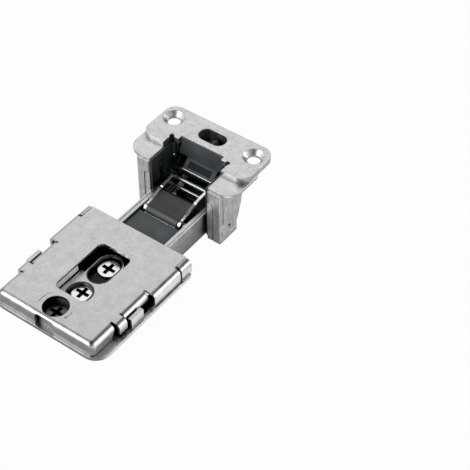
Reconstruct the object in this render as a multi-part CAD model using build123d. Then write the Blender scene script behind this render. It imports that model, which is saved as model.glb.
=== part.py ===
from build123d import *
import math
import os

# Concealed furniture hinge: a low mounting plate with a clipped sheet cover, a channel arm, and a deep
# die-cast cup that folds a quarter turn about the arm's end on an inner and an outer link.
# Working frame: X along the pins, Y from the cover's front edge to the cup, Z up from the cover's top.
# Every solid is shifted once, on export, so that the origin is the bottom centre of the whole.

# Clearances
run = 0.05                  # radial, of a pin that turns in its hole
slide = 0.15                # of a part that slides
seam = 0.1                  # between neighbouring fixed pieces
slit = 0.35                 # width of a sawn or cast slit
over = 1.0                  # how far a cutting tool reaches past what it cuts

# Base plate
base_half = 24.0
base_front, base_rear = -2.7, 47.3
base_top, base_sheet = -5.6, 1.3
base_corner, base_rear_corner = 6.0, 2.0
rim = 0.7                   # ledge left outside the cover
plate_hole_r = 2.15
plate_hole_spacing, plate_hole_y = 32.0, 31.0
tab_long, tab_wide, tab_roll = 5.35, 2.3, 2.2
lug_wide, lug_start, lug_end, lug_top = 1.5, 15.3, 21.4, -1.5
catch_half, catch_front, catch_wall, catch_top = 3.8, -0.4, 0.8, -1.3

# Clipped cover, one folded sheet
sheet, roll = 1.0, 2.0
cover_rear = 47.6
mid_step, hook_step = 0.9, 2.4
front_end = 9.2
mid_start, mid_end = 10.2, 14.0
hook_start, hook_end = 14.8, 26.7
rear_start, rear_end = 27.4, 41.6
mid_drop, hook_drop = 4.4, 2.9
window_half, window_front, window_rear, window_r = 7.0, 11.0, 36.0, 2.5
guide_start, guide_end, guide_low = 12.6, 23.5, -3.35
notch_half, notch_top, notch_r = 4.0, -0.7, 0.8

# Depth cam
cam_y = 4.4
cam_hole_r, cam_head_r, cam_disc_r, cam_pivot_r = 4.65, 3.9, 2.6, 2.0
cam_throw, cam_swing = 1.2, 60.0
cam_head, cam_lift = 0.45, 0.1

# Slotted carriage plate and the slide plate below it
carriage_top, carriage_thick = -3.5, 1.15
carriage_front, carriage_step = 1.6, 24.2
nose_half, nose_wall, crown_r = 4.9, 0.8, 1.1
slide_plate_thick, slide_plate_half, slide_plate_front = 0.75, 8.6, 9.5

# Adjusting screws
lock_y, side_y = 17.3, 31.0
head_r, head_top, shank_r = 3.85, -4.8, 1.9
lock_slot_front, lock_slot_rear = 11.2, 20.4
side_slot_front, side_slot_rear = 22.2, 35.7
recess_size, recess_wing, recess_core = 5.2, 1.4, 2.1

# Arm channel
arm_half, arm_wall = 11.6, 2.2
arm_top, arm_low, arm_web, arm_bend = -2.8, -13.3, 1.2, 0.8
arm_start, arm_deep_start, arm_web_end = 38.5, 49.0, 75.5
arm_wall_end, arm_nose_end, arm_nose_top = 76.9, 82.6, -7.3
arm_nose_r, arm_neck_r = 2.2, 1.2
arm_slope_start, arm_slope_end, arm_slope_low = 74.0, 75.2, -3.8
bead_in, bead_wide, bead_deep, bead_start, bead_end = 0.9, 0.22, 0.35, 47.6, 73.5
cover_start, cover_top, cover_thick, cover_rib = 46.2, -3.7, 0.9, 1.1
lining_rise, lining_end = 3.2, 75.3

# Pivots, as (Y, Z), and their pins
pivot_a = (62.3, -4.4)      # inner link on the arm
pivot_b = (79.3, -9.9)      # outer link on the arm
pivot_c = (79.0, -2.0)      # inner link on the cup
pivot_d = (82.8, -1.17)     # outer link on the cup
pin_a_r, pin_b_r, pin_c_r, pin_d_r = 1.25, 0.9, 0.85, 0.8
open_play = 1.02            # play of the outer link round pin B

# Inner link, its cap and spring
link_half, link_sheet = 8.1, 1.1
boss_a, boss_c = 2.6, 2.35
web_start, web_end, web_top, web_thick = 65.0, 68.8, -2.2, 0.8
curl_r = 3.0
cap_rear, cap_rear_top, cap_edge = 69.4, -0.45, 1.0
lip_rear, lip_top, lip_thick = 71.4, -2.1, 0.6
spring_y, spring_z, spring_r, spring_leg = 77.1, -4.3, 0.72, 1.0

# Outer link
outer_half = 6.6
bow_along, bow_out, bow_r = 3.2, 3.6, 0.9
boss_d, foot_wall = 1.65, 1.0

# Cup
cup_bottom, cup_rear = -13.8, 97.2
arm_gap, liner = 0.4, 0.8
pillar_wide = 5.65
cavity_bend, cavity_foot = -5.6, 83.4
box_front = 69.85
mouth_deep, cavity_deep, block_deep = 15.05, 16.35, 17.55
ear_over, ear_front, ear_rear, ear_low, ear_thick = 4.75, 70.4, 88.0, 9.2, 1.2
ear_front_r, ear_rear_r = 5.5, 3.0
flange_in, flange_front, flange_thick, flange_r = 0.3, 78.2, 2.44, 4.5
flange_mouth_in, flange_mouth_step = 3.4, 82.8
drill_r = 0.9
fix_spacing, fix_y, fix_r, fix_sink_r = 35.7, 91.0, 2.45, 4.1
switch_y, switch_half, switch_r, switch_long = 90.6, 5.7, 3.15, 3.7
pocket_half, pocket_rear, pocket_low, pocket_floor = 8.2, 94.8, 5.0, 1.2
strip_wide, strip_rise, strip_top = 2.2, 0.3, 3.5
corner_rib_r = 0.9
damper_y, damper_r, damper_high = 75.6, 2.35, 6.6
rod_r, rod_low, rod_slot_low, nose_low, nose_high = 0.8, -1.0, -1.2, 3.3, 5.9
cheek_wide, cheek_in, hatch_half, bracket_low = 1.8, 0.5, 5.0, -1.9

# Worked out from the above
base_low = base_top - base_sheet
base_drop = -base_top
cover_outer = base_half - rim
rear_half = cover_outer - roll
mid_half = rear_half - mid_step
front_half = rear_half - hook_step
tab_inner = cover_outer - tab_wide
tail_half = tab_inner - 3 * seam
lug_outer = cover_outer - seam
carriage_low = carriage_top - carriage_thick
slide_low = carriage_low - slide_plate_thick
cam_travel = cam_throw * math.sin(math.radians(cam_swing))
slot_half = nose_half - nose_wall
nose_end = side_slot_rear + nose_wall
arm_in = arm_half - arm_wall
liner_in = arm_half + arm_gap
liner_out = liner_in + liner
mouth_half = liner_out + seam
box_half = mouth_half + pillar_wide
block_half = mouth_half + 1.1
ear_half = box_half + ear_over
ear_top = ear_low + ear_thick
flange_half = ear_half - flange_in
flange_top = ear_top + flange_thick
flange_mouth_half = mouth_half - flange_mouth_in
damper_x = (mouth_half + box_half) / 2
mouth_rear = box_front + mouth_deep
cavity_rear = box_front + cavity_deep
block_rear = box_front + block_deep
link_in = link_half - link_sheet
slope_half = link_in - 2 * seam
shift_y = (base_front + cup_rear) / 2
shift_z = cup_bottom


def block(x0, x1, y0, y1, z0, z1):
    return Pos((x0 + x1) / 2, (y0 + y1) / 2, (z0 + z1) / 2) * Box(abs(x1 - x0), y1 - y0, z1 - z0)


def side_profile(points, x0, x1):
    # a closed outline in Y and Z, drawn out along X
    face = make_face(Polyline(*points, close=True))
    return extrude(Plane.YZ.offset(x0) * face, x1 - x0)


def bar(centre, radius, x0, x1):
    return Pos((x0 + x1) / 2, centre[0], centre[1]) * Rot(0, 90, 0) * Cylinder(radius, x1 - x0)


def post(x, y, radius, z0, z1):
    return Pos(x, y, (z0 + z1) / 2) * Cylinder(radius, z1 - z0)


def slab(half, y0, y1, z0, z1, front_r, rear_r):
    # a plate with its own radius at the two front and the two rear corners
    solid = block(-half, half, y0, y1, z0, z1)
    uprights = solid.edges().filter_by(Axis.Z).sort_by(Axis.Y)
    solid = fillet(uprights[:2], front_r)
    uprights = solid.edges().filter_by(Axis.Z).filter_by_position(Axis.Y, y1 - 0.01, y1 + 0.01)
    return fillet(uprights, rear_r)


def slot_along_y(half, y0, y1, z0, z1):
    mid = block(-half, half, y0 + half, y1 - half, z0, z1)
    return mid + post(0, y0 + half, half, z0, z1) + post(0, y1 - half, half, z0, z1)


def slot_along_x(y, reach, radius, z0, z1):
    # reach is from the middle to the round end's tip
    mid = block(radius - reach, reach - radius, y - radius, y + radius, z0, z1)
    return mid + post(radius - reach, y, radius, z0, z1) + post(reach - radius, y, radius, z0, z1)


def hull_bar(a, ra, b, rb, x0, x1):
    # two bosses joined by their outer tangents, drawn out along X
    dy, dz = b[0] - a[0], b[1] - a[1]
    base = math.atan2(dz, dy)
    lean = math.acos((ra - rb) / math.hypot(dy, dz))
    corners = []
    for centre, radius, sign in ((a, ra, 1), (b, rb, 1), (b, rb, -1), (a, ra, -1)):
        angle = base + sign * lean
        corners.append((centre[0] + radius * math.cos(angle), centre[1] + radius * math.sin(angle)))
    return side_profile(corners, x0, x1) + bar(a, ra, x0, x1) + bar(b, rb, x0, x1)


def strap_bar(a, b, half, x0, x1):
    # a straight strip of even width between two points, drawn out along X
    angle = math.atan2(b[1] - a[1], b[0] - a[0])
    dy, dz = -half * math.sin(angle), half * math.cos(angle)
    corners = [(a[0] + dy, a[1] + dz), (b[0] + dy, b[1] + dz)]
    corners += [(b[0] - dy, b[1] - dz), (a[0] - dy, a[1] - dz)]
    return side_profile(corners, x0, x1)


def both(solid):
    return solid + mirror(solid, about=Plane.YZ)


def cross_recess(x, y, top, depth):
    # four wings round a square core that stands on its corner
    wings = Box(recess_size, recess_wing, 2 * depth) + Box(recess_wing, recess_size, 2 * depth)
    return Pos(x, y, top) * (wings + Rot(0, 0, 45) * Box(recess_core, recess_core, 2 * depth))


def rolled_profile(start, radius, drop, lead):
    # section of a folded edge: across, then down from the cover's top; lead is its flat overlap
    inner_r = radius - sheet
    rim_point = math.sqrt(0.5)
    outer = ThreePointArc((start, 0), (start + radius * rim_point, radius - radius * rim_point),
                          (start + radius, radius))
    fall = Line((start + radius, radius), (start + radius, drop))
    foot = Line((start + radius, drop), (start + inner_r, drop))
    rise = Line((start + inner_r, drop), (start + inner_r, radius))
    inner_mid = (start + inner_r * rim_point, radius - inner_r * rim_point)
    inner = ThreePointArc((start + inner_r, radius), inner_mid, (start, sheet))
    edges = [outer, fall, foot, rise, inner]
    if lead > 0:
        edges.append(Line((start, sheet), (start - lead, sheet)))
        edges.append(Line((start - lead, sheet), (start - lead, 0)))
        edges.append(Line((start - lead, 0), (start, 0)))
    else:
        edges.append(Line((start, sheet), (start, 0)))
    return make_face(edges)


def rolled_edge(start, radius, drop, y0, y1):
    place = Plane(origin=(0, y0, 0), x_dir=(1, 0, 0), z_dir=(0, 1, 0))
    return extrude(place * rolled_profile(start, radius, drop, seam), y1 - y0)


def drawn_corner():
    # quarter of a drawn cup where the front roll meets a side roll
    ball = Pos(front_half, 0, -roll) * Sphere(roll)
    skirt = post(front_half, 0, roll, -base_drop, -roll)
    skirt -= post(front_half, 0, roll - sheet, -base_drop - over, -roll)
    quarter = block(front_half, front_half + roll + over, -roll - over, 0, -base_drop, 0)
    crown = quarter & block(front_half, front_half + roll + over, -roll - over, 0, -roll, 0) & ball
    return crown + (quarter & skirt)


def make_base_plate():
    # pressed tray floor with rolled rear tabs, a lug each side and a catch behind the cover's notch
    base = slab(base_half, base_front, base_rear, base_low, base_top, base_corner, base_rear_corner)
    base += both(block(lug_outer - lug_wide, lug_outer, lug_start, lug_end, base_top, lug_top))
    tab_start = base_rear - tab_long
    base += both(rolled_edge(cover_outer - tab_roll, tab_roll, base_drop, tab_start, base_rear))
    base += block(-catch_half, catch_half, catch_front, catch_front + catch_wall, base_top, catch_top)
    base -= both(post(plate_hole_spacing / 2, plate_hole_y, plate_hole_r, base_low - over, base_top + over))
    base -= post(0, cam_y, cam_pivot_r + run, base_low - over, base_top + over)
    for y in (lock_y, side_y):
        base -= post(0, y, shank_r + run, base_low - over, base_top + over)
    return base


def make_clip_cover():
    # sheet top, four rolled side segments each side and a rolled front with two drawn corners
    cover = block(-front_half, front_half, 0, rear_start, -sheet, 0)
    cover += block(-mid_half, mid_half, mid_start, mid_end, -sheet, 0)
    cover += block(-rear_half, rear_half, rear_start, rear_end, -sheet, 0)
    cover += block(-tail_half, tail_half, rear_end, cover_rear, -sheet, 0)
    front_side = rolled_edge(front_half, roll, base_drop, 0, front_end)
    # the front segment's lower corner is clipped off at an angle
    clip = base_drop - roll
    corner = [(front_end, -roll), (front_end + over, -roll), (front_end + over, -base_drop - over),
              (front_end - clip / 2, -base_drop - over), (front_end - clip / 2, -base_drop)]
    front_side -= side_profile(corner, front_half - over, front_half + roll + over)
    cover += both(front_side)
    cover += both(rolled_edge(mid_half, roll, mid_drop, mid_start, mid_end))
    cover += both(rolled_edge(front_half, roll, hook_drop, hook_start, hook_end))
    cover += both(rolled_edge(rear_half, roll, base_drop, rear_start, rear_end))
    front_place = Plane(origin=(-front_half, 0, 0), x_dir=(0, -1, 0), z_dir=(1, 0, 0))
    cover += extrude(front_place * rolled_profile(0, roll, base_drop, seam), 2 * front_half)
    cover += both(drawn_corner())
    cover -= slab(window_half, window_front, window_rear, -sheet - over, over, window_r, window_r)
    cover += both(block(window_half, window_half + sheet, guide_start, guide_end, guide_low, -sheet / 2))
    cover -= post(0, cam_y, cam_hole_r, -sheet - over, over)
    notch = block(-notch_half, notch_half, -roll - over, -sheet / 2, -base_drop - over, notch_top)
    shoulders = notch.edges().filter_by(Axis.Y).group_by(Axis.Z)[-1]
    return cover - fillet(shoulders, notch_r)


def make_depth_cam():
    # pivot in the base, throw disc in the carriage, cross-recessed head under the cover's hole
    head_low = carriage_top + cam_lift
    head_up = head_low + cam_head
    cam = post(0, cam_y, cam_pivot_r, base_low + seam, slide_low + seam)
    cam += post(cam_throw, cam_y, cam_disc_r, slide_low + seam, head_low)
    cam += post(0, cam_y, cam_head_r, head_low, head_up)
    return cam - cross_recess(0, cam_y, head_up, cam_head + carriage_thick)


def make_adjusting_screw(y):
    screw = post(0, y, head_r, base_top, head_top) + post(0, y, shank_r, base_low + seam, base_top)
    return screw - cross_recess(0, y, head_top, head_top - base_top + base_sheet / 2)


def make_carriage_plate():
    # shallow bridge with two screw slots, a round nose and the cam's cross slot
    bridge = block(-window_half, window_half, carriage_front, carriage_step, carriage_low, carriage_top)
    crown = bridge.edges().filter_by(Axis.Y).group_by(Axis.Z)[-1]
    bridge = fillet(crown, crown_r)
    nose = slot_along_y(nose_half, carriage_step - 2 * nose_half, nose_end, carriage_low, carriage_top)
    bridge += nose
    for front, rear in ((lock_slot_front, lock_slot_rear), (side_slot_front, side_slot_rear)):
        bridge -= slot_along_y(slot_half, front, rear, carriage_low - over, carriage_top + over)
    cam_slot_r = cam_disc_r + slide
    reach = cam_throw + cam_slot_r
    return bridge - slot_along_x(cam_y, reach, cam_slot_r, carriage_low - over, carriage_top + over)


def make_slide_plate():
    # flat slide under the carriage, open round both screw heads over its whole travel
    plate = block(-slide_plate_half, slide_plate_half, slide_plate_front, arm_start, slide_low, carriage_low)
    opening = head_r + slide
    reach = opening + cam_travel + slide
    front, rear = lock_y - reach, side_y + reach
    return plate - slot_along_y(opening, front, rear, slide_low - over, carriage_low + over)


def make_arm_channel():
    # folded U section cut to its side outline, with a flat front that the slide plate carries
    section = block(-arm_half, arm_half, arm_start, arm_nose_end, arm_low, arm_top)
    bends = section.edges().filter_by(Axis.Y).group_by(Axis.Z)[0]
    section = fillet(bends, arm_bend)
    web_top = arm_low + arm_web
    section -= block(-arm_in, arm_in, arm_start - over, arm_nose_end + over, web_top, arm_top + over)
    section -= block(-arm_in, arm_in, arm_web_end, arm_nose_end + over, arm_low - over, arm_top + over)
    outline = [(arm_start, slide_low), (arm_start, arm_top), (arm_slope_start, arm_top),
               (arm_slope_end, arm_slope_low), (arm_wall_end, arm_slope_low), (arm_wall_end, arm_nose_top),
               (arm_nose_end, arm_nose_top), (arm_nose_end, arm_low), (arm_deep_start, arm_low),
               (arm_deep_start, slide_low)]
    side = side_profile(outline, -arm_half, arm_half)
    along = side.edges().filter_by(Axis.X)
    nose = along.filter_by_position(Axis.Y, arm_nose_end - 0.01, arm_nose_end + 0.01)
    side = fillet(nose, arm_nose_r)
    along = side.edges().filter_by(Axis.X)
    neck = along.filter_by_position(Axis.Y, arm_wall_end - 0.01, arm_wall_end + 0.01).group_by(Axis.Z)[0]
    side = fillet(neck, arm_neck_r)
    arm = section & side
    arm += block(-arm_in, arm_in, arm_start, arm_deep_start + arm_web, slide_low, carriage_low)
    arm += block(-arm_in, arm_in, arm_deep_start, arm_deep_start + arm_web, arm_low, slide_low)
    # seam in the top of each doubled wall
    groove = arm_half - bead_in
    arm -= both(block(groove, groove + bead_wide, bead_start, bead_end, arm_top - bead_deep, arm_top + over))
    arm -= bar(pivot_a, pin_a_r, -arm_half - over, arm_half + over)
    return arm - bar(pivot_b, pin_b_r, -arm_half - over, arm_half + over)


def make_arm_cover():
    # moulded lining of the channel: a floor, and a roof on two ribs between the plate's cover and the link
    half = arm_in - seam
    rear = pivot_a[0] - curl_r - 2 * seam
    cover = block(-half, half, cover_start, rear, cover_top - cover_thick, cover_top)
    rib_low = arm_low + arm_web
    front = arm_deep_start + 2 * arm_web
    for y in (front, rear - cover_rib):
        cover += block(-half, half, y, y + cover_rib, rib_low, cover_top - cover_thick)
    return cover + block(-half, half, front, lining_end, rib_low, rib_low + lining_rise)


def make_inner_link():
    # two side plates with a rising top edge, joined by a web under the cap
    front_rise = pivot_a[1] + boss_a
    rear_rise = pivot_c[1] + boss_c
    plate = hull_bar(pivot_a, boss_a, pivot_c, boss_c, link_in, link_half)
    crest = [(pivot_a[0] - 0.4, front_rise - 0.1), (64.4, -1.35), (69.2, 0.2), (72.4, 0.7), (76.6, 1.0),
             (pivot_c[0] + 0.5, rear_rise - 0.1), (pivot_c[0], pivot_c[1]), (pivot_a[0], pivot_a[1])]
    plate += side_profile(crest, link_in, link_half)
    plate -= bar((69.6, 0.6), 0.6, link_in - over, link_half + over)
    link = both(plate) + block(-link_in, link_in, web_start, web_end, web_top - web_thick, web_top)
    link -= bar(pivot_a, pin_a_r + run, -link_half - over, link_half + over)
    return link - bar(pivot_c, pin_c_r + run, -link_half - over, link_half + over)


def make_link_cap():
    # moulded cap: a curl round the arm pin, a flat top and a lower rear lip
    half = link_in - run
    curl_top = pivot_a[1] + curl_r
    cap = bar(pivot_a, curl_r, -half, half)
    roof = [(pivot_a[0], curl_top), (cap_rear, cap_rear_top), (cap_rear, cap_rear_top - cap_edge),
            (lip_rear, lip_top), (lip_rear, lip_top - lip_thick), (web_end + seam, web_top - lip_thick),
            (web_end + seam, web_top + seam), (web_start - seam, web_top + seam),
            (web_start - seam, web_top - web_thick), (pivot_a[0], pivot_a[1])]
    cap += side_profile(roof, -half, half)
    return cap - bar(pivot_a, pin_a_r + run, -link_half, link_half)


def make_closing_spring():
    # round bar across the link, with two strip legs that press on the cap's curl
    out = link_in - seam
    start = pivot_a[0] + curl_r + 0.02
    spring = bar((spring_y, spring_z), spring_r, -out, out)
    half = spring_leg / 2
    return spring + both(block(out - spring_leg, out, start, spring_y, spring_z - half, spring_z + half))


def along_outer(u, v):
    # a point given along and beside the line from pivot D to pivot B
    angle = math.atan2(pivot_b[1] - pivot_d[1], pivot_b[0] - pivot_d[0])
    y = pivot_d[0] + u * math.cos(angle) - v * math.sin(angle)
    z = pivot_d[1] + u * math.sin(angle) + v * math.cos(angle)
    return (y, z)


def make_outer_link():
    # broad bowed lever with an eye round pins B and D, which passes behind pin C
    bow = along_outer(bow_along, bow_out)
    foot_r = pin_b_r + open_play + foot_wall
    link = hull_bar(pivot_d, boss_d, bow, bow_r, -outer_half, outer_half)
    link += strap_bar(bow, pivot_b, bow_r, -outer_half, outer_half)
    link += bar(pivot_b, foot_r, -outer_half, outer_half)
    link -= bar(pivot_b, pin_b_r + open_play, -outer_half - over, outer_half + over)
    return link - bar(pivot_d, pin_d_r + run, -outer_half - over, outer_half + over)


def housing_slits():
    # joint lines of the side plate that is let into the box, and its hooked tongue
    face = box_half - slit
    out = box_half + over
    lines = block(face, out, 71.6, 71.6 + slit, -5.6, ear_low - seam)
    lines += block(face, out, 70.9, 70.9 + slit, -11.3, -9.0)
    lines += block(face, out, 70.9, 75.2, -9.0, -9.0 + slit)
    lines += block(face - 2 * slit, out, 74.9, 76.0, -9.0, -7.6)
    lines += block(face, out, 75.7, 75.7 + slit, -11.0, -8.2)
    lines += block(face, out, 75.7, 80.4, -11.0, -11.0 + slit)
    return lines


def make_cup_housing():
    # two pillars with damper bores, a block behind the mouth, an ear plate and a raised screw flange
    pillar = [(box_front, ear_low), (83.2, ear_low), (83.0, 1.2), (82.3, -2.5), (80.7, -7.7), (79.8, -9.0),
              (79.8, cup_bottom), (box_front, cup_bottom)]
    housing = both(side_profile(pillar, mouth_half, box_half))
    front_edges = housing.edges().filter_by(Axis.Z).group_by(Axis.Y)[0]
    housing = fillet(front_edges, 0.5)
    strip_out = mouth_half + strip_wide
    strip = block(mouth_half, strip_out, box_front - strip_rise, box_front + strip_rise,
                  cup_bottom, strip_top)
    strip_edge = strip.edges().filter_by(Axis.Y).group_by(Axis.Z)[-1].sort_by(Axis.X)[-1]
    groove = block(mouth_half - over, strip_out + slit, box_front - over, box_front + slit,
                   cup_bottom - over, strip_top + slit)
    groove_edge = groove.edges().filter_by(Axis.Y).group_by(Axis.Z)[-1].sort_by(Axis.X)[-1]
    housing -= both(fillet(groove_edge, 1.0 + slit))
    housing += both(Pos(0, slit, 0) * fillet(strip_edge, 1.0))
    rear_block = [(78.0, ear_low), (block_rear, ear_low), (block_rear, -6.0), (84.6, cup_bottom),
                  (83.0, cup_bottom), (78.0, 0.0)]
    housing += side_profile(rear_block, -block_half, block_half)
    housing += slab(ear_half, ear_front, ear_rear, ear_low, ear_top, ear_front_r, ear_rear_r)
    housing += slab(flange_half, flange_front, cup_rear, ear_top, flange_top, flange_r, flange_r)
    housing += block(-pocket_half, pocket_half, block_rear - over, pocket_rear, pocket_low, ear_top)
    below = cup_bottom - over
    mouth = [(box_front - over, ear_top), (mouth_rear, ear_top), (mouth_rear, 4.7), (cavity_rear, 4.7),
             (cavity_rear, cavity_bend), (cavity_foot, below), (box_front - over, below)]
    housing -= side_profile(mouth, -mouth_half, mouth_half)
    front_cut, low_cut, high_cut = flange_front - 2 * over, ear_top - seam, flange_top + over
    housing -= block(-mouth_half, mouth_half, front_cut, flange_mouth_step, low_cut, high_cut)
    housing -= block(-flange_mouth_half, flange_mouth_half, front_cut, mouth_rear - seam, low_cut, high_cut)
    housing -= both(post(mouth_half - drill_r / 2, flange_mouth_step, drill_r, low_cut, high_cut))
    sink = fix_sink_r - fix_r
    for x in (-fix_spacing / 2, fix_spacing / 2):
        housing -= post(x, fix_y, fix_r, ear_low - over, flange_top + over)
        housing -= Pos(x, fix_y, flange_top - sink / 2) * Cone(fix_r, fix_sink_r, sink)
    housing -= slot_along_x(switch_y, switch_half, switch_r, pocket_low + pocket_floor, flange_top + over)
    slot_wide = rod_r + 2 * slide
    for x in (-damper_x, damper_x):
        housing -= post(x, damper_y, damper_r, cup_bottom - over, damper_high)
        inner = math.copysign(mouth_half - over, x)
        housing -= block(min(x, inner), max(x, inner), damper_y - slot_wide, damper_y + slot_wide,
                         rod_slot_low, damper_high)
    housing -= both(housing_slits())
    pin_reach = mouth_half + pin_c_r * 2
    return housing - bar(pivot_c, pin_c_r, -pin_reach - seam, pin_reach + seam)


def make_side_liner():
    # moulded lining of one pillar, with the damper's slot, a viewing slit and a ribbed rear corner
    front = box_front + slit + seam
    rear = mouth_rear - liner + seam
    top = ear_top - 2 * seam
    lining = block(liner_in, liner_out, front, rear, 3.2, top)
    lining += block(liner_in, liner_out, front, 80.4, cup_bottom + over, 3.3)
    lining += block(liner_out - seam, mouth_half, 71.5, 72.5, -4.0, 2.0)
    lining += block(flange_mouth_half + 0.7, liner_out, rear - liner, rear, 4.9, top)
    lining += post(liner_out - corner_rib_r - seam, 82.9, corner_rib_r, 3.2 + seam, top)
    slot_wide = rod_r + 2 * slide
    lining -= block(liner_in - over, liner_out + over, damper_y - slot_wide, damper_y + slot_wide,
                    rod_slot_low, damper_high)
    lining -= block(liner_in - over, liner_out + over, front + 0.3, front + 2.4, 4.4, 4.4 + slit)
    return lining - bar(pivot_c, pin_c_r + run, liner_in - over, liner_out + over)


def make_rear_liner():
    front = mouth_rear - liner
    half = flange_mouth_half - run
    panel = block(-half, half, front, mouth_rear - seam, 4.9, flange_top - 2 * seam)
    return panel + block(-half - 0.6, half + 0.6, front, mouth_rear, 4.9, 8.0)


def make_pin_bracket():
    # folded bracket at the back of the mouth: two pin cheeks and a sloping web with a pressed hatch
    cheek_out = liner_in - cheek_in
    cheek_face = cheek_out - cheek_wide
    cheek = side_profile([(82.0, 0.6), (84.4, 3.2), (cavity_rear, 3.2), (cavity_rear, -3.6), (83.6, -3.3)],
                         cheek_face, cheek_out)
    cheek += bar(pivot_d, 2.05, cheek_face, cheek_out)
    bracket = both(cheek) + block(-cheek_out, cheek_out, cavity_rear - 1.0, cavity_rear, bracket_low, 4.6)
    slope = [(81.0, 1.25), (84.9, 4.6), (cavity_rear, 4.6), (cavity_rear, 3.4), (85.2, 3.6), (81.5, 0.62)]
    bracket += side_profile(slope, -slope_half, slope_half)
    hatch = [(81.26, 2.79), (83.05, 4.33), (83.9, 3.34), (82.1, 1.8)]
    bracket -= side_profile(hatch, -hatch_half, hatch_half)
    return bracket - bar(pivot_d, pin_d_r, -cheek_out - over, cheek_out + over)


def make_damper_cylinder(x):
    tube = post(x, damper_y, damper_r - 0.02, cup_bottom + 0.02, rod_low - 0.4)
    return tube - post(x, damper_y, rod_r + run, rod_low - 8.5, rod_low)


def make_damper_plunger(x):
    # sprung rod with a head that runs in the pillar and a nose that reaches through the liner's slot
    nose_x = math.copysign(liner_in + seam, x)
    plunger = post(x, damper_y, rod_r, rod_low - 4.0, nose_low)
    plunger += post(x, damper_y, damper_r - slide, nose_low - 0.3, nose_high + 0.3)
    front, rear = damper_y - rod_r, damper_y + rod_r
    return plunger + block(min(x, nose_x), max(x, nose_x), front, rear, nose_low, nose_high)


def make_damper_switch():
    # round-ended slide with a raised ridge for a screwdriver's tip
    low = pocket_low + pocket_floor + run
    top = 8.4
    half_wide = switch_r - slide
    body = slot_along_x(switch_y, switch_long, half_wide, low, top)
    ridge = Pos(0, switch_y, top - 0.2) * Rot(90, 0, 0) * Cylinder(1.7, 2 * half_wide - 1.2)
    return body + ridge


def make_inner_cup_pin():
    reach = mouth_half + pin_c_r * 2
    return bar(pivot_c, pin_c_r, -reach, reach)


def make_outer_cup_pin():
    reach = liner_in - seam
    return bar(pivot_d, pin_d_r, -reach, reach)


right_liner = make_side_liner()
parts = {
    "base_plate": make_base_plate(),
    "clip_cover": make_clip_cover(),
    "depth_cam": make_depth_cam(),
    "locking_screw": make_adjusting_screw(lock_y),
    "side_adjusting_screw": make_adjusting_screw(side_y),
    "carriage_plate": make_carriage_plate(),
    "slide_plate": make_slide_plate(),
    "arm_channel": make_arm_channel(),
    "arm_cover": make_arm_cover(),
    "inner_arm_pin": bar(pivot_a, pin_a_r, -arm_half, arm_half),
    "outer_arm_pin": bar(pivot_b, pin_b_r, -arm_half, arm_half),
    "inner_link": make_inner_link(),
    "link_cap": make_link_cap(),
    "closing_spring": make_closing_spring(),
    "outer_link": make_outer_link(),
    "cup_housing": make_cup_housing(),
    "liner_right": right_liner,
    "liner_left": mirror(right_liner, about=Plane.YZ),
    "liner_rear": make_rear_liner(),
    "pin_bracket": make_pin_bracket(),
    "inner_cup_pin": make_inner_cup_pin(),
    "outer_cup_pin": make_outer_cup_pin(),
    "damper_cylinder_left": make_damper_cylinder(-damper_x),
    "damper_cylinder_right": make_damper_cylinder(damper_x),
    "damper_plunger_left": make_damper_plunger(-damper_x),
    "damper_plunger_right": make_damper_plunger(damper_x),
    "damper_switch": make_damper_switch(),
}

os.makedirs("parts", exist_ok=True)
for name, solid in parts.items():
    placed = Pos(0, -shift_y, -shift_z) * solid
    placed.label = name
    export_step(placed, "parts/" + name + ".step")
    size = placed.bounding_box().size
    extent = [round(v, 2) for v in (size.X, size.Y, size.Z)]
    print(name, len(placed.solids()), round(placed.volume, 1), extent)
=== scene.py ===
import math

import bpy
from mathutils import Matrix, Vector


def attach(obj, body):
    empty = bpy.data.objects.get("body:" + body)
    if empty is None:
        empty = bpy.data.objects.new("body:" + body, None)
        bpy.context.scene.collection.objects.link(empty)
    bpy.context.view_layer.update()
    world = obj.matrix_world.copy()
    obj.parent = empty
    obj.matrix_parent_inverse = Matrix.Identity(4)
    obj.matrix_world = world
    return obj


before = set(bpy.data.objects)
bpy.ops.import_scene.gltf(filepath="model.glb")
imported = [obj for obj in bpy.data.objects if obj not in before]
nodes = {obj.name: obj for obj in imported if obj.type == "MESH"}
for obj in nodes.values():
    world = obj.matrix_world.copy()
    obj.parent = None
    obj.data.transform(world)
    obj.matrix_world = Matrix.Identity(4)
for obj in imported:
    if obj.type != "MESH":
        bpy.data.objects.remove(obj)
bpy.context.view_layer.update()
mm = 0.001
# The part's source has its own zero: X along the pins, Y from the cover's front, Z from its top, in mm
partOrigin = Vector((0, -47.25, 13.8))


def toRow(x, y, z):
    return (Vector((x, y, z)) + partOrigin) * mm


def srgb(code):
    # hex colour as a screen shows it, turned to the linear colour that a shader wants
    channels = [int(code[i:i + 2], 16) / 255 for i in (1, 3, 5)]
    return tuple(c / 12.92 if c <= 0.04045 else ((c + 0.055) / 1.055) ** 2.4 for c in channels) + (1.0,)


def addNode(tree, kind, settings=None, links=None, stops=None):
    # one node, with its settings (own values or input values), what is linked into it, and a ramp's stops;
    # an input is given by its name, or by its number where a node has that name more than once
    node = tree.nodes.new(kind)
    for name, value in (settings or {}).items():
        if isinstance(name, int) or name in node.inputs:
            node.inputs[name].default_value = value
        else:
            setattr(node, name, value)
    for name, socket in (links or {}).items():
        tree.links.new(socket, node.inputs[name])
    for i, (position, colour) in enumerate(stops or []):
        spot = node.color_ramp.elements[i] if i < 2 else node.color_ramp.elements.new(position)
        spot.position, spot.color = position, colour
    return node


# A Mix node's sockets by number: two colours and their mix, two values and theirs
colourA, colourB, colourOut = 6, 7, 2
valueA, valueB, valueOut = 2, 3, 0


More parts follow.
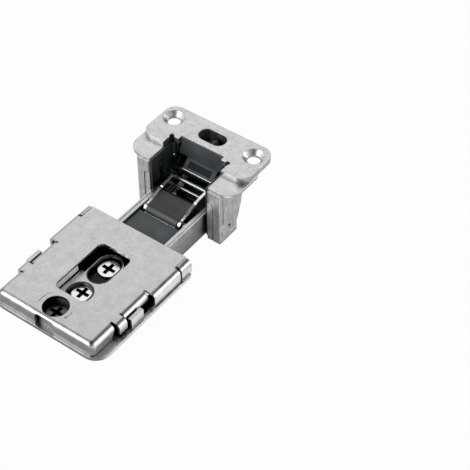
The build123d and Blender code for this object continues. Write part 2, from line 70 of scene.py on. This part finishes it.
def newMaterial(name):
    material = bpy.data.materials.new(name)
    material.use_nodes = True
    material.node_tree.nodes.clear()
    return material, material.node_tree


def shadeAreas(tree, place, areas):
    # product of the shades of all areas; an area has its |X|, Y and Z from and to in the part's source, the
    # shade in its middle, and as soft the share of its half size from which that shade fades out
    flip = addNode(tree, "ShaderNodeVectorMath", {"operation": "MULTIPLY", 1: (-1, 1, 1)}, {0: place})
    folded = addNode(tree, "ShaderNodeVectorMath", {"operation": "MAXIMUM"},
                     {0: place, 1: flip.outputs["Vector"]})
    product = None
    for area in areas:
        low, high = [toRow(*[area[axis][end] for axis in "xyz"]) for end in (0, 1)]
        gap = addNode(tree, "ShaderNodeVectorMath", {"operation": "SUBTRACT", 1: (low + high) / 2},
                      {0: folded.outputs["Vector"]})
        size = addNode(tree, "ShaderNodeVectorMath", {"operation": "ABSOLUTE"}, {0: gap.outputs["Vector"]})
        share = addNode(tree, "ShaderNodeVectorMath", {"operation": "DIVIDE", 1: (high - low) / 2},
                        {0: size.outputs["Vector"]})
        part = addNode(tree, "ShaderNodeSeparateXYZ", links={"Vector": share.outputs["Vector"]})
        widest = addNode(tree, "ShaderNodeMath", {"operation": "MAXIMUM"},
                         {0: part.outputs["X"], 1: part.outputs["Y"]})
        widest = addNode(tree, "ShaderNodeMath", {"operation": "MAXIMUM"},
                         {0: widest.outputs["Value"], 1: part.outputs["Z"]})
        shade = addNode(tree, "ShaderNodeMapRange", {"From Min": area["soft"], "To Min": area["shade"]},
                        {"Value": widest.outputs["Value"]}).outputs["Result"]
        if product:
            shade = addNode(tree, "ShaderNodeMath", {"operation": "MULTIPLY"},
                            {0: product, 1: shade}).outputs["Value"]
        product = shade
    return product


# Levels that noise hardly leaves, which are stretched to a whole tint or roughness: of the fine grain, of
# the clouds, and of the two mixed on a moulding
grainLow, grainHigh = 0.3, 0.7
cloudLow, cloudHigh = 0.35, 0.65
mouldLow, mouldHigh = 0.5, 0.95


def nookShade(tree, look):
    # painted shade: 1 on open faces, down to the look's nook where faces close in on each other
    shut, clear = look["nookSpan"]
    nook = addNode(tree, "ShaderNodeAmbientOcclusion", {
        "samples": 8, "Distance": look["nookMm"] * mm, "only_local": look.get("nookOwn", False)})
    depth = addNode(tree, "ShaderNodeMapRange", {
        "From Min": shut, "From Max": clear, "To Min": look["nook"]}, {"Value": nook.outputs["AO"]})
    return depth.outputs["Result"]


def surfaceRelief(tree, look, grain):
    # tiny round edges, and the grain as fine relief
    edge = addNode(tree, "ShaderNodeBevel", {"samples": 4, "Radius": look["edgeMm"] * mm})
    bump = addNode(tree, "ShaderNodeBump", {"Strength": look["bump"], "Distance": look["bumpMm"] * mm},
                   {"Height": grain, "Normal": edge.outputs["Normal"]})
    return bump.outputs["Normal"]


def metal(name, look):
    # plated metal: grain of the surface under the plating, soft mottling, painted shade in the nooks and in
    # any shade areas, tiny round edges
    material, tree = newMaterial(name)
    place = addNode(tree, "ShaderNodeTexCoord").outputs["Object"]
    grainScale = [1 / (size * mm) for size in look["grainMm"]]
    grainPlace = addNode(tree, "ShaderNodeMapping", {"Scale": grainScale}, {"Vector": place})
    grain = addNode(tree, "ShaderNodeTexNoise", {"Scale": 1.0, "Detail": 3.0, "Roughness": 0.7},
                    {"Vector": grainPlace.outputs["Vector"]}).outputs["Fac"]
    cloud = addNode(tree, "ShaderNodeTexNoise", {
        "Scale": 1 / (look["cloudMm"] * mm), "Detail": 3.0, "Roughness": 0.55}, {"Vector": place})
    cloudShare = look["cloudShare"]
    mixed = addNode(tree, "ShaderNodeMath", {"operation": "MULTIPLY_ADD", 1: cloudShare},
                    {0: cloud.outputs["Fac"], 2: grain})
    span = addNode(tree, "ShaderNodeMapRange", {
        "From Min": grainLow + cloudLow * cloudShare, "From Max": grainHigh + cloudHigh * cloudShare},
        {"Value": mixed.outputs["Value"]}).outputs["Result"]
    tint = addNode(tree, "ShaderNodeValToRGB", links={"Fac": span},
                   stops=[(0.0, srgb(look["dark"])), (1.0, srgb(look["light"]))])
    paintedShade = nookShade(tree, look)
    if "areas" in look:
        paintedShade = addNode(tree, "ShaderNodeMath", {"operation": "MULTIPLY"},
                        {0: paintedShade, 1: shadeAreas(tree, place, look["areas"])}).outputs["Value"]
    shaded = addNode(tree, "ShaderNodeMix", {"data_type": "RGBA", "blend_type": "MULTIPLY", "Factor": 1.0},
                     {colourA: tint.outputs["Color"], colourB: paintedShade})
    smooth, dull = look["rough"]
    rough = addNode(tree, "ShaderNodeMapRange", {"To Min": smooth, "To Max": dull}, {"Value": span})
    shader = addNode(tree, "ShaderNodeBsdfPrincipled", {"Metallic": 1.0}, {
        "Base Color": shaded.outputs[colourOut], "Roughness": rough.outputs["Result"],
        "Normal": surfaceRelief(tree, look, grain)})
    addNode(tree, "ShaderNodeOutputMaterial", links={"Surface": shader.outputs["BSDF"]})
    return material


def moulded(name, look):
    # moulded plastic and thin matt pieces: fine texture, a soft wide shine, and painted shade in the nooks
    # that darkens the colour and weakens the shine
    material, tree = newMaterial(name)
    place = addNode(tree, "ShaderNodeTexCoord").outputs["Object"]
    grain = addNode(tree, "ShaderNodeTexNoise", {"Scale": 1 / (look["grainMm"] * mm), "Detail": 2.0},
                    {"Vector": place}).outputs["Fac"]
    cloud = addNode(tree, "ShaderNodeTexNoise", {"Scale": 1 / (look["cloudMm"] * mm), "Detail": 1.0},
                    {"Vector": place}).outputs["Fac"]
    mixed = addNode(tree, "ShaderNodeMath", {"operation": "MULTIPLY_ADD", 1: look["grainShare"]},
                    {0: grain, 2: cloud})
    tint = addNode(tree, "ShaderNodeValToRGB", links={"Fac": mixed.outputs["Value"]},
                   stops=[(mouldLow, srgb(look["dark"])), (mouldHigh, srgb(look["light"]))])
    paintedShade = nookShade(tree, look)
    shaded = addNode(tree, "ShaderNodeMix", {"data_type": "RGBA", "blend_type": "MULTIPLY", "Factor": 1.0},
                     {colourA: tint.outputs["Color"], colourB: paintedShade})
    gloss = addNode(tree, "ShaderNodeMath", {"operation": "MULTIPLY", 1: look["shine"]}, {0: paintedShade})
    smooth, dull = look["rough"]
    rough = addNode(tree, "ShaderNodeMapRange", {
        "From Min": grainLow, "From Max": grainHigh, "To Min": smooth, "To Max": dull}, {"Value": grain})
    shader = addNode(tree, "ShaderNodeBsdfPrincipled", {"IOR": look["ior"]}, {
        "Base Color": shaded.outputs[colourOut], "Roughness": rough.outputs["Result"],
        "Specular IOR Level": gloss.outputs["Value"], "Normal": surfaceRelief(tree, look, grain)})
    addNode(tree, "ShaderNodeOutputMaterial", links={"Surface": shader.outputs["BSDF"]})
    return material


# Folded sheet steel, barrel-plated in satin nickel: pale grey with a fine sandy speckle. Like the grain of
# all finishes below, the speckle is finer than a pixel and so is drawn 0.4 to 0.6 mm wide to show
sheetLook = {
    "dark": "#a9a9a8", "light": "#e4e4e2", "grainMm": (0.4, 0.4, 0.4), "cloudMm": 3.0, "cloudShare": 0.5,
    "nookMm": 1.5, "nook": 0.3, "nookSpan": (0.15, 0.8), "nookOwn": True, "rough": (0.28, 0.40),
    "bump": 0.25, "bumpMm": 0.03, "edgeMm": 0.2}
# Shadow lines of the cover: its foot, the wall of the cam's hole, the pinch where two rolls meet, its seam
coverFoot = {"x": (-30.0, 30.0), "y": (-5.0, 43.0), "z": (-5.9, -5.2), "soft": 0.8, "shade": 0.3}
holeWall = {"x": (-5.3, 5.3), "y": (-0.9, 9.7), "z": (-1.4, -0.12), "soft": 0.97, "shade": 0.05}
cornerPinch = {"x": (18.5, 20.3), "y": (-1.5, 0.3), "z": (-1.5, 0.3), "soft": 0.3, "shade": 0.25}
coverSeam = {"x": (20.5, 25.0), "y": (41.05, 42.15), "z": (-6.0, 1.0), "soft": 0.75, "shade": 0.06}
satinSheet = metal("satin_nickel_sheet", dict(
    sheetLook, areas=[coverFoot, holeWall, cornerPinch, coverSeam]))
# The same plating on the tray, with painted shade: nearly black where the cover hides it, darker at the
# catch, along its outer edge and at the seam
underCover = {"x": (-22.5, 22.5), "y": (9.6, 41.8), "z": (-8.0, -2.0), "soft": 0.98, "shade": 0.04}
underFront = {"x": (-20.6, 20.6), "y": (0.5, 10.4), "z": (-8.0, -2.0), "soft": 0.98, "shade": 0.04}
catchShade = {"x": (-4.5, 4.5), "y": (-1.0, 0.7), "z": (-5.5, -1.0), "soft": 0.95, "shade": 0.4}
edgeShade = {"x": (-30.0, 30.0), "y": (-9.0, 60.0), "z": (-7.4, -5.75), "soft": 0.98, "shade": 0.8}
satinTray = metal("satin_nickel_tray", dict(
    sheetLook, areas=[underCover, underFront, coverSeam, catchShade, edgeShade], nook=0.65, nookOwn=False))
# The same on the carriage, with painted shade: dark round the cam and on the walls of its slots
roundCam = {"x": (-9.0, 9.0), "y": (-1.0, 12.0), "z": (-9.0, -2.0), "soft": 0.96, "shade": 0.08}
slotWalls = {"x": (-4.6, 4.6), "y": (10.8, 36.2), "z": (-9.0, -3.6), "soft": 0.97, "shade": 0.12}
satinCarriage = metal("satin_nickel_carriage", dict(
    sheetLook, areas=[roundCam, slotWalls], nookMm=3.0, nook=0.1, nookSpan=(0.3, 0.8)))
# The same on the arm's channel, with painted shade that darkens it towards the pieces that sit in it
satinArm = metal("satin_nickel_arm", dict(
    sheetLook, nookMm=4.0, nook=0.15, nookSpan=(0.2, 0.9), nookOwn=False))
# Zinc die casting, tumbled and nickel plated: the same pale grey with upright drag marks
diecastZinc = metal("diecast_zinc_nickel", {
    "dark": "#a6a6a5", "light": "#f0f0ee", "grainMm": (0.4, 0.4, 4.0), "cloudMm": 2.5, "cloudShare": 0.5,
    "nookMm": 2.5, "nook": 0.15, "nookSpan": (0.2, 0.8), "rough": (0.26, 0.42),
    "bump": 0.35, "bumpMm": 0.04, "edgeMm": 0.4})
# Turned and headed steel, bright nickel: almost a mirror
brightLook = {
    "dark": "#cfcfce", "light": "#f4f4f3", "grainMm": (0.6, 0.6, 0.6), "cloudMm": 2.0, "cloudShare": 0.4,
    "nookMm": 2.5, "nook": 0.05, "nookSpan": (0.15, 0.8), "rough": (0.16, 0.28),
    "bump": 0.12, "bumpMm": 0.02, "edgeMm": 0.15}
brightSteel = metal("bright_nickel_steel", brightLook)
# Screw heads: the same, with deep shade in the driver's recess
screwRecess = {"x": (-9.0, 9.0), "y": (0.0, 40.0), "z": (-9.0, -4.92), "soft": 0.98, "shade": 0.03}
screwSteel = metal("bright_nickel_screw", dict(brightLook, areas=[screwRecess], nookOwn=True))
# Pins in the cup: ground steel with an oil film, which greys its mirror
pinSteel = metal("oiled_pin_steel", dict(brightLook, dark="#8d8f90", light="#b4b6b7", nookMm=3.0))
# Zinc cam, oiled: dark grey with a wet shine, and painted shade that makes the driver's recess black
camRecess = {"x": (-9.0, 9.0), "y": (-2.0, 12.0), "z": (-9.0, -3.1), "soft": 0.98, "shade": 0.05}
camZinc = metal("zinc_cam", dict(
    brightLook, dark="#3a3d40", light="#6c7073", areas=[camRecess], nookMm=3.0, nook=0.03,
    nookSpan=(0.3, 0.7), rough=(0.2, 0.32)))
# Pressed steel under a dark passivated plating: dark neutral grey, still clearly metal
darkLook = {
    "dark": "#292d2f", "light": "#3b4043", "grainMm": (0.5, 0.5, 0.5), "cloudMm": 3.0, "cloudShare": 0.4,
    "nookMm": 2.5, "nook": 0.15, "nookSpan": (0.15, 0.8), "rough": (0.30, 0.42),
    "bump": 0.15, "bumpMm": 0.02, "edgeMm": 0.18}
darkSteel = metal("dark_passivated_steel", darkLook)
# Slide and lever under manganese phosphate: near black and dull
phosphateSteel = metal("phosphated_steel_black", dict(
    darkLook, dark="#131517", light="#25292b", cloudMm=2.0, nookMm=6.0, nook=0.04, rough=(0.32, 0.5)))
# Glass-filled nylon from a fine eroded mould: blue-grey black with a soft sheen; the cap and the liners are
# darker than the plates
nylonLook = {
    "dark": "#3c4143", "light": "#52585b", "grainMm": 0.4, "cloudMm": 6.0, "grainShare": 0.5,
    "nookMm": 5.0, "nook": 0.15, "nookSpan": (0.25, 0.75), "rough": (0.36, 0.5), "shine": 0.5, "ior": 1.53,
    "bump": 0.3, "bumpMm": 0.02, "edgeMm": 0.25}
nylonPlate = moulded("glass_filled_nylon_grey", nylonLook)
nylonCap = moulded("glass_filled_nylon_cap", dict(
    nylonLook, dark="#2b2f31", light="#3d4245", rough=(0.3, 0.42)))
nylonLiner = moulded("glass_filled_nylon_black", dict(
    nylonLook, dark="#22272a", light="#33393c", cloudMm=5.0, nook=0.1, rough=(0.32, 0.48)))

finishes = {
    # mounting plate
    "base_plate": satinTray, "clip_cover": satinSheet, "depth_cam": camZinc,
    "locking_screw": screwSteel, "side_adjusting_screw": screwSteel,
    # arm and links
    "carriage_plate": satinCarriage, "slide_plate": phosphateSteel, "arm_channel": satinArm,
    "arm_cover": nylonPlate, "inner_arm_pin": brightSteel, "outer_arm_pin": brightSteel,
    "inner_link": brightSteel, "link_cap": nylonCap, "closing_spring": pinSteel,
    "outer_link": phosphateSteel,
    # cup
    "cup_housing": diecastZinc, "liner_left": nylonLiner, "liner_right": nylonLiner,
    "liner_rear": nylonPlate, "pin_bracket": darkSteel, "inner_cup_pin": pinSteel,
    "outer_cup_pin": pinSteel, "damper_cylinder_left": nylonLiner, "damper_cylinder_right": nylonLiner,
    "damper_plunger_left": nylonLiner, "damper_plunger_right": nylonLiner, "damper_switch": nylonLiner,
}
for name, finish in finishes.items():
    nodes[name].data.materials.clear()
    nodes[name].data.materials.append(finish)
print("finishes on", len(finishes), "nodes")

added = []


def addPiece(name, points, faces, look):
    # look says what the piece is made of, the record's slot that goes with it and the body that carries it
    mesh = bpy.data.meshes.new(name)
    mesh.from_pydata([toRow(*point) for point in points], [], faces)
    piece = bpy.data.objects.new(name, mesh)
    bpy.context.scene.collection.objects.link(piece)
    mesh.materials.append(look["finish"])
    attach(piece, look["body"])
    added.append(piece)


def prism(name, outline, ends, look):
    # an outline in Y and Z, clockwise as seen from the right, drawn out along X between two ends
    count = len(outline)
    points = [(x, y, z) for x in ends for y, z in outline]
    faces = [tuple(range(count)), tuple(reversed(range(count, 2 * count)))]
    faces += [(i, i + count, (i + 1) % count + count, (i + 1) % count) for i in range(count)]
    addPiece(name, points, faces, look)


def ribbon(name, line, size, look, closed=False):
    # a thin inlay of even width along a line on a flat top, at the height that size gives as level
    points = []
    last = len(line) - 1
    for i, (x, y) in enumerate(line):
        behind, ahead = line[i - 1], line[(i + 1) % len(line)]
        if not closed:
            behind, ahead = line[max(i - 1, 0)], line[min(i + 1, last)]
        along = Vector((ahead[0] - behind[0], ahead[1] - behind[1])).normalized()
        across = Vector((-along.y, along.x)) * size["wide"] / 2
        top, bottom = size["level"] + size["proud"], size["level"] - size["deep"]
        for side, z in ((1, top), (-1, top), (-1, bottom), (1, bottom)):
            points.append((x + side * across.x, y + side * across.y, z))
    spans = [(4 * i, 4 * i + 4) for i in range(last)]
    ends = [(3, 2, 1, 0), tuple(range(4 * last, 4 * last + 4))]
    if closed:
        spans, ends = spans + [(4 * last, 0)], []
    sides = [(a + k, a + (k + 1) % 4, b + (k + 1) % 4, b + k) for a, b in spans for k in range(4)]
    addPiece(name, points, sides + ends, look)


# Thin pieces that show little but their colour, so they are drawn matt: painted shade in the marks and slot
# rims, painted light on the guide faces
thinLook = {
    "grainMm": 0.4, "cloudMm": 3.0, "grainShare": 0.5, "nookMm": 1.0, "nook": 0.8, "nookSpan": (0.25, 0.75),
    "shine": 0.5, "ior": 1.53, "bump": 0.1, "bumpMm": 0.02, "edgeMm": 0.05}

# Scale round the cam's hole: fine lines rolled into the cover, drawn as dark inlays of painted shade
camCentreY = 4.4
markShadow = moulded("rolled_mark_shadow", dict(
    thinLook, dark="#4a4c4d", light="#5c5f60", rough=(0.5, 0.6)))
markLook = {"finish": markShadow, "slot": "sheet_steel", "body": "mounting_plate"}
markSize = {"level": 0.0, "wide": 0.26, "proud": 0.012, "deep": 0.05}


def aroundCam(radius, angleDeg):
    turn = math.radians(angleDeg)
    return (radius * math.cos(turn), camCentreY + radius * math.sin(turn))


def arcOfCam(radius, fromDeg, toDeg, stepDeg=5):
    steps = max(2, round(abs(toDeg - fromDeg) / stepDeg))
    return [aroundCam(radius, fromDeg + (toDeg - fromDeg) * i / steps) for i in range(steps + 1)]


marks = {
    "mark_arc_left": arcOfCam(radius=6.25, fromDeg=162, toDeg=194),
    "mark_arc_right": arcOfCam(radius=6.15, fromDeg=-24, toDeg=10),
    "mark_dash_left": [(-6.4, 6.95), (-5.1, 7.9)],
    "mark_tick_right": [aroundCam(radius=r, angleDeg=-15.5) for r in (5.5, 6.5)],
    "mark_dot": [(5.05, 7.25), (5.45, 7.55)],
}
for name, line in marks.items():
    ribbon(name, line, markSize, markLook)


def roundSlot(half, frontCentre, rearCentre, steps=14):
    # closed line round a slot along Y, begun on a straight side
    turns = [math.pi * i / steps for i in range(steps + 1)]
    start = (half, (frontCentre + rearCentre) / 2)
    rear = [(half * math.cos(turn), rearCentre + half * math.sin(turn)) for turn in turns]
    front = [(-half * math.cos(turn), frontCentre - half * math.sin(turn)) for turn in turns]
    return [start] + rear + front


# Rolled-over edges of the carriage's two slots, drawn as dark rings of painted shade for the gap round the
# screw heads
slotShadeInlay = moulded("slot_edge_painted_shade", dict(
    thinLook, dark="#141617", light="#232628", rough=(0.4, 0.5)))
slotLook = {"finish": slotShadeInlay, "slot": "sheet_steel", "body": "arm"}
slotSize = {"level": -3.5, "wide": 0.46, "proud": 0.012, "deep": 0.05}
lockSlot = roundSlot(half=4.43, frontCentre=15.3, rearCentre=16.3)
sideSlot = roundSlot(half=4.32, frontCentre=26.3, rearCentre=31.6)
ribbon("lock_slot_edge", lockSlot, dict(slotSize, wide=0.68), slotLook, closed=True)
ribbon("side_slot_edge", sideSlot, slotSize, slotLook, closed=True)

# Lead-in faces of the cover's two guide strips, seen through its window: pale matt skins of painted light,
# standing for the brightness they reflect
guidePaintedLight = moulded("lead_in_painted_light", dict(
    thinLook, dark="#d2d3d3", light="#efefee", rough=(0.4, 0.5)))
guideLook = {"finish": guidePaintedLight, "slot": "sheet_steel", "body": "mounting_plate"}
guideOutline = [(12.65, -1.05), (23.45, -1.05), (23.45, -3.3), (12.65, -3.3)]
guideInner, guideOuter = 6.97, 7.03
prism("guide_face_left", guideOutline, (-guideOuter, -guideInner), guideLook)
prism("guide_face_right", guideOutline, (guideInner, guideOuter), guideLook)

# Strips across the hinge, each an outline in Y and Z and half its length: the pin bracket's sheared edges,
# where bare steel shows bright, the black face of its hatch, and the bright edge behind the arm's cover
shearLook = {"finish": brightSteel, "slot": "bright_steel", "body": "cup"}
hatchLook = {"finish": phosphateSteel, "slot": "dark_steel", "body": "cup"}
armEdgeLook = {"finish": brightSteel, "slot": "bright_steel", "body": "arm"}
strips = {
    "bracket_front_edge": {
        "look": shearLook, "half": 6.8,
        "outline": [(80.93, 1.19), (81.03, 1.35), (81.25, 1.30), (81.46, 0.66), (81.36, 0.58)]},
    "bracket_hatch_face": {
        "look": hatchLook, "half": 4.9,
        "outline": [(82.1, 1.91), (83.82, 3.38), (83.86, 3.33), (82.14, 1.86)]},
    "arm_cover_rear_edge": {
        "look": armEdgeLook, "half": 6.9,
        "outline": [(58.98, -3.78), (58.98, -3.64), (59.18, -3.66), (59.18, -3.82)]},
    "bracket_top_edge": {
        "look": shearLook, "half": 6.8,
        "outline": [(84.82, 4.50), (84.86, 4.68), (85.02, 4.68), (85.02, 4.50)]},
}
for name, strip in strips.items():
    prism(name, strip["outline"], (-strip["half"], strip["half"]), strip["look"])

# Low rivet heads on the liner's corner ribs, which face the middle of the mouth; given for the right one
rivet = {
    "place": (11.29, 82.2, 4.7), "facing": (-0.59, -0.81, 0), "around": 16,
    # radius and height of each ring of the dome, from inside the rib to the top
    "rings": [(0.55, -0.2), (0.55, 0.1), (0.4, 0.25), (0.2, 0.32)]}


def rivetHead(name, side, plan, look):
    mirror = Vector((side, 1, 1))
    base, normal = Vector(plan["place"]) * mirror, Vector(plan["facing"]) * mirror
    across, up = Vector((-normal.y, normal.x, 0)), Vector((0, 0, 1))
    rings, count = plan["rings"], plan["around"]
    turns = [2 * math.pi * k / count for k in range(count)]
    points = [base + normal * depth + (across * math.cos(turn) + up * math.sin(turn)) * radius
              for radius, depth in rings for turn in turns]
    sides = [(r + k, r + (k + 1) % count, r + count + (k + 1) % count, r + count + k)
             for r in range(0, (len(rings) - 1) * count, count) for k in range(count)]
    ends = [tuple(reversed(range(count))), tuple(range((len(rings) - 1) * count, len(rings) * count))]
    addPiece(name, points, sides + ends, look)


rivetHead("liner_rivet_left", -1, rivet, shearLook)
rivetHead("liner_rivet_right", 1, rivet, shearLook)
print("added", len(marks), "marks and", len(added) - len(marks), "pieces of trim")

# Camera: the photograph's viewpoint, found from the hinge's own corners; from here on, lengths are in
# metres where nothing else is said
cameraPlan = {
    "place": (0.2237, -0.2492, 0.3491), "look": (-0.41486, 0.56787, -0.71092), "rollDeg": 0.1,
    "lensMm": 104.4, "sensorMm": 36.0, "near": 0.01, "far": 20}


def makeCamera(plan):
    data = bpy.data.cameras.new("camera")
    data.lens = plan["lensMm"]
    data.sensor_width = plan["sensorMm"]
    data.clip_start, data.clip_end = plan["near"], plan["far"]
    camera = bpy.data.objects.new("camera", data)
    bpy.context.scene.collection.objects.link(camera)
    turn = Vector(plan["look"]).to_track_quat("-Z", "Y").to_matrix().to_4x4()
    roll = Matrix.Rotation(math.radians(plan["rollDeg"]), 4, "Z")
    camera.matrix_world = Matrix.Translation(plan["place"]) @ turn @ roll
    bpy.context.scene.camera = camera


makeCamera(cameraPlan)

# Pale floor: white to the camera but for a faint shadow; toCamera and toMetal are the shares of its own
# glow that the camera and reflections see, and the rest is matt
floorPlan = {
    "colour": "#dadada", "half": 3.0, "toCamera": 0.97, "toMetal": 0.8, "glow": 0.6,
    # cards that only reflections show: beside the plate, before it, and a dim one under the cup's right;
    # each ramp has its axis, where the card starts and where it is full, in mm
    "cards": [
        {"glow": 1.5, "ramps": [("X", 18, 24), ("Y", 14, 4)]},
        {"glow": 0.36, "ramps": [("Y", -44, -50), ("X", 60, 40)]},
        {"glow": 0.25, "ramps": [("X", 4, 10), ("X", 20, 16), ("Y", 0, 12)]}]}


def makeFloor(plan):
    mesh = bpy.data.meshes.new("floor")
    half = plan["half"]
    corners = [(-half, -half, 0), (half, -half, 0), (half, half, 0), (-half, half, 0)]
    mesh.from_pydata(corners, [], [(0, 1, 2, 3)])
    floor = bpy.data.objects.new("floor", mesh)
    bpy.context.scene.collection.objects.link(floor)
    material, tree = newMaterial("pale_floor")
    matt = addNode(tree, "ShaderNodeBsdfDiffuse", {"Color": srgb(plan["colour"])})
    path = addNode(tree, "ShaderNodeLightPath")
    place = addNode(tree, "ShaderNodeTexCoord").outputs["Object"]
    apart = addNode(tree, "ShaderNodeSeparateXYZ", links={"Vector": place})
    level = None
    for card in plan["cards"]:
        reach = None
        for axis, start, full in card["ramps"]:
            ramp = addNode(tree, "ShaderNodeMapRange", {"From Min": start * mm, "From Max": full * mm},
                           {"Value": apart.outputs[axis]}).outputs["Result"]
            if reach:
                ramp = addNode(tree, "ShaderNodeMath", {"operation": "MULTIPLY"},
                               {0: reach, 1: ramp}).outputs["Value"]
            reach = ramp
        settings, links = {"data_type": "FLOAT", valueB: card["glow"]}, {"Factor": reach}
        if level:
            links[valueA] = level
        else:
            settings[valueA] = plan["glow"]
        level = addNode(tree, "ShaderNodeMix", settings, links).outputs[valueOut]
    strength = addNode(tree, "ShaderNodeMix", {"data_type": "FLOAT", valueB: 1.0},
                       {"Factor": path.outputs["Is Camera Ray"], valueA: level})
    white = addNode(tree, "ShaderNodeEmission", {"Color": (1, 1, 1, 1)},
                    {"Strength": strength.outputs[valueOut]})
    toMetal = addNode(tree, "ShaderNodeMath", {"operation": "MULTIPLY", 1: plan["toMetal"]},
                      {0: path.outputs["Is Glossy Ray"]})
    share = addNode(tree, "ShaderNodeMath", {"operation": "MULTIPLY_ADD", 1: plan["toCamera"]},
                    {0: path.outputs["Is Camera Ray"], 2: toMetal.outputs["Value"]})
    mix = addNode(tree, "ShaderNodeMixShader", links={
        "Fac": share.outputs["Value"], 1: matt.outputs["BSDF"], 2: white.outputs["Emission"]})
    addNode(tree, "ShaderNodeOutputMaterial", links={"Surface": mix.outputs["Shader"]})
    mesh.materials.append(material)


makeFloor(floorPlan)

# Surround: white to the camera, grey in reflections and dim straight above; its heights are the sine of the
# angle above the floor
skyPlan = {
    "low": 0.5, "band": 0.62, "bandFrom": 0.3, "bandTo": 0.79, "top": 0.1, "topFrom": 0.88,
    # a black card high on the right draws the dark line that starts the right roll; each of its edges is
    # soft, from open sky to card
    "cardShade": 0.12, "cardLeft": (-0.15, 0.05), "cardRight": (0.62, 0.5), "cardFoot": (0.45, 0.6)}


def makeSurround(plan):
    world = bpy.data.worlds.new("surround")
    bpy.context.scene.world = world
    world.use_nodes = True
    tree = world.node_tree
    tree.nodes.clear()
    place = addNode(tree, "ShaderNodeTexCoord").outputs["Generated"]
    apart = addNode(tree, "ShaderNodeSeparateXYZ", links={"Vector": place})
    low, band, top = [(plan[part],) * 3 + (1.0,) for part in ("low", "band", "top")]
    tint = addNode(tree, "ShaderNodeValToRGB", links={"Fac": apart.outputs["Z"]},
                   stops=[(0.0, low), (1.0, top), (plan["bandFrom"], band), (plan["bandTo"], band),
                          (plan["topFrom"], top)])
    inside = None
    for axis, edge in (("X", "cardLeft"), ("X", "cardRight"), ("Z", "cardFoot")):
        openSky, card = plan[edge]
        ramp = addNode(tree, "ShaderNodeMapRange", {"From Min": openSky, "From Max": card},
                       {"Value": apart.outputs[axis]}).outputs["Result"]
        if inside:
            ramp = addNode(tree, "ShaderNodeMath", {"operation": "MULTIPLY"},
                           {0: inside, 1: ramp}).outputs["Value"]
        inside = ramp
    power = addNode(tree, "ShaderNodeMapRange", {"To Min": 1.0, "To Max": plan["cardShade"]},
                    {"Value": inside})
    lit = addNode(tree, "ShaderNodeBackground", links={
        "Color": tint.outputs["Color"], "Strength": power.outputs["Result"]})
    white = addNode(tree, "ShaderNodeBackground", {"Color": (1, 1, 1, 1), "Strength": 1.0})
    path = addNode(tree, "ShaderNodeLightPath")
    mix = addNode(tree, "ShaderNodeMixShader", links={
        "Fac": path.outputs["Is Camera Ray"], 1: lit.outputs["Background"], 2: white.outputs["Background"]})
    addNode(tree, "ShaderNodeOutputWorld", links={"Surface": mix.outputs["Shader"]})


makeSurround(skyPlan)

# Soft boxes: one for the top from behind, two for the rolled edges, and a key from the left
boxAway = 0.9
boxes = {
    "back_box": {"toward": (-0.46, 0.50, 0.73), "wide": 0.6, "high": 0.45, "glow": 0.6},
    "right_strip": {"toward": (0.78, 0.56, 0.14), "wide": 0.9, "high": 0.5, "glow": 3.6},
    "front_strip": {"toward": (-0.41, -0.71, 0.55), "wide": 0.7, "high": 0.7, "glow": 2.4},
    "left_key": {"toward": (-0.85, -0.1, 0.52), "wide": 0.4, "high": 0.3, "glow": 1.5},
}


def softBox(name, plan):
    # a flat lamp that faces the hinge; its power follows from its size, so that glow is what metal mirrors
    data = bpy.data.lights.new(name, "AREA")
    data.shape = "RECTANGLE"
    data.size, data.size_y = plan["wide"], plan["high"]
    data.energy = plan["glow"] * plan["wide"] * plan["high"] * math.pi
    lamp = bpy.data.objects.new(name, data)
    bpy.context.scene.collection.objects.link(lamp)
    way = Vector(plan["toward"]).normalized()
    turn = (-way).to_track_quat("-Z", "Y").to_matrix().to_4x4()
    lamp.matrix_world = Matrix.Translation(way * boxAway) @ turn
    lamp.visible_camera = False


for name, plan in boxes.items():
    softBox(name, plan)
print("camera, floor, surround and", len(boxes), "soft boxes set")

bpy.context.scene.view_settings.view_transform = "Standard"
